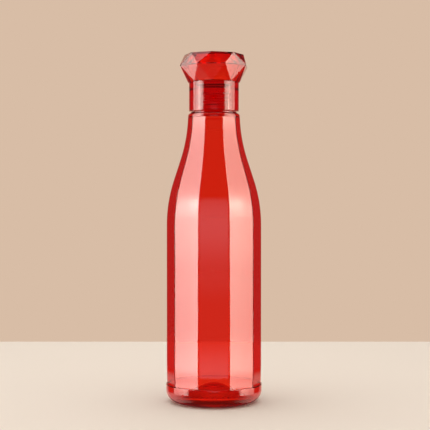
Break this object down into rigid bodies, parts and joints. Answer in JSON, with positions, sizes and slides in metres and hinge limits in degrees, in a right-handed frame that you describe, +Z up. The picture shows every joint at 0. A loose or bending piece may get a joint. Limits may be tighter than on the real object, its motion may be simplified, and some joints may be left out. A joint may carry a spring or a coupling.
{
  "type": "water bottle",
  "caption": "Tall clear-coloured water bottle with flat panels, a tapered shoulder and a faceted gem-shaped screw cap.",
  "frame": {"origin": "centre of the ring that the bottle stands on", "axes": "+Z up along the bottle's axis, -Y out of the panel taken as the front, +X to its right"},
  "size_m": [0.0832, 0.0832, 0.3016],
  "materials": {
    "bottle": "clear red PET, blown, glossy",
    "cap": "clear red polystyrene, moulded, glossy",
    "insert": "clear red polypropylene, moulded",
    "gasket": "soft red elastomer, matt"
  },
  "bodies": {
    "bottle": {"bottle_body": "bottle"},
    "seal": {"sealing_gasket": "gasket"},
    "cap": {"cap_shell": "cap", "cap_insert": "insert"}
  },
  "joints": [
    {"name": "cap_lift", "type": "slide", "parent": "bottle", "child": "seal", "axis": [0, 0, 1], "range_m": [0, 0.0255]},
    {"name": "cap_turn", "type": "hinge", "parent": "seal", "child": "cap", "pos_m": [0, 0, 0.265], "axis": [0, 0, 1], "range_deg": [0, 2160]}
  ],
  "couplings": [
    {"joint": "cap_lift", "follows": "cap_turn", "m_per_rad": 0.00067375}
  ]
}
